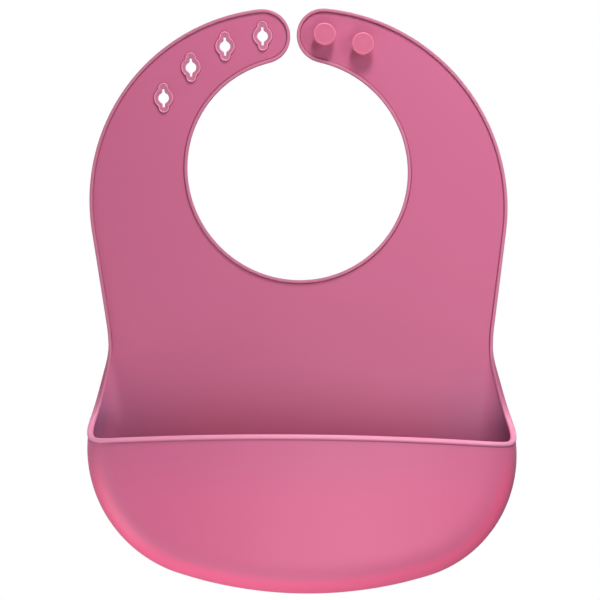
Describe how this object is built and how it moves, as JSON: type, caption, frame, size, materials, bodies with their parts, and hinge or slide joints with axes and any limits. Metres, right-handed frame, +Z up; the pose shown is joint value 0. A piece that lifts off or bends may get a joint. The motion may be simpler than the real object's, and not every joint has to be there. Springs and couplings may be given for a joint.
{
  "type": "silicone bib",
  "caption": "Moulded silicone baby bib with a buttoning neck loop and a deep scoop pocket at its foot that catches crumbs.",
  "frame": {"origin": "centre of the round neck opening, on the flat back face of the sheet", "axes": "+Z up the bib towards the strap tips, +X to the viewer's right as seen from the front, front faces -Y"},
  "size_m": [0.2142, 0.0458, 0.2919],
  "materials": {
    "silicone": "matte moulded silicone",
    "stud_silicone": "satin moulded silicone"
  },
  "bodies": {
    "chest": {"chest_panel": "silicone", "chest_left_bead": "silicone", "chest_right_bead": "silicone", "neckline_bead": "silicone", "waist_flex": "silicone", "left_strap_flex": "silicone", "right_strap_flex": "silicone"},
    "left_strap": {"left_strap_panel": "silicone", "left_strap_bead": "silicone", "left_tip_flex": "silicone", "eyelet_lip_3": "silicone", "eyelet_lip_4": "silicone"},
    "left_tip": {"left_tip_panel": "silicone", "left_tip_bead": "silicone", "eyelet_lip_1": "silicone", "eyelet_lip_2": "silicone"},
    "right_strap": {"right_strap_panel": "silicone", "right_strap_bead": "silicone", "right_tip_flex": "silicone"},
    "right_tip": {"right_tip_panel": "silicone", "right_tip_bead": "silicone", "stud_1": "stud_silicone", "stud_2": "stud_silicone"},
    "lower": {"lower_panel": "silicone", "pocket_base": "silicone", "left_gusset": "silicone", "left_gusset_bead": "silicone", "right_gusset": "silicone", "right_gusset_bead": "silicone"},
    "pocket_wall": {"pocket_front": "silicone", "pocket_rim_bead": "silicone"}
  },
  "joints": [
    {"name": "waist_fold", "type": "hinge", "parent": "chest", "child": "lower", "pos_m": [0, -0.0009, -0.087], "axis": [-1, 0, 0], "range_deg": [-30, 90], "stiffness_Nm_per_rad": 0.6, "deforming": ["waist_flex"]},
    {"name": "pocket_flex", "type": "hinge", "parent": "lower", "child": "pocket_wall", "pos_m": [0, -0.003, -0.205], "axis": [1, 0, 0], "range_deg": [-20, 15], "stiffness_Nm_per_rad": 0.8, "deforming": ["left_gusset", "right_gusset", "left_gusset_bead", "right_gusset_bead"]},
    {"name": "left_strap_fold", "type": "hinge", "parent": "chest", "child": "left_strap", "pos_m": [-0.08, -0.0009, 0.008], "axis": [-1, 0, 0], "range_deg": [-45, 110], "stiffness_Nm_per_rad": 0.08, "deforming": ["left_strap_flex"]},
    {"name": "left_tip_curl", "type": "hinge", "parent": "left_strap", "child": "left_tip", "pos_m": [-0.04333, -0.0009, 0.0575], "axis": [-0.6018, 0, 0.7986], "range_deg": [-45, 90], "stiffness_Nm_per_rad": 0.03, "deforming": ["left_tip_flex"]},
    {"name": "right_strap_fold", "type": "hinge", "parent": "chest", "child": "right_strap", "pos_m": [0.08, -0.0009, 0.008], "axis": [-1, 0, 0], "range_deg": [-45, 110], "stiffness_Nm_per_rad": 0.08, "deforming": ["right_strap_flex"]},
    {"name": "right_tip_curl", "type": "hinge", "parent": "right_strap", "child": "right_tip", "pos_m": [0.04333, -0.0009, 0.0575], "axis": [-0.6018, 0, -0.7986], "range_deg": [-45, 90], "stiffness_Nm_per_rad": 0.03, "deforming": ["right_tip_flex"]}
  ]
}
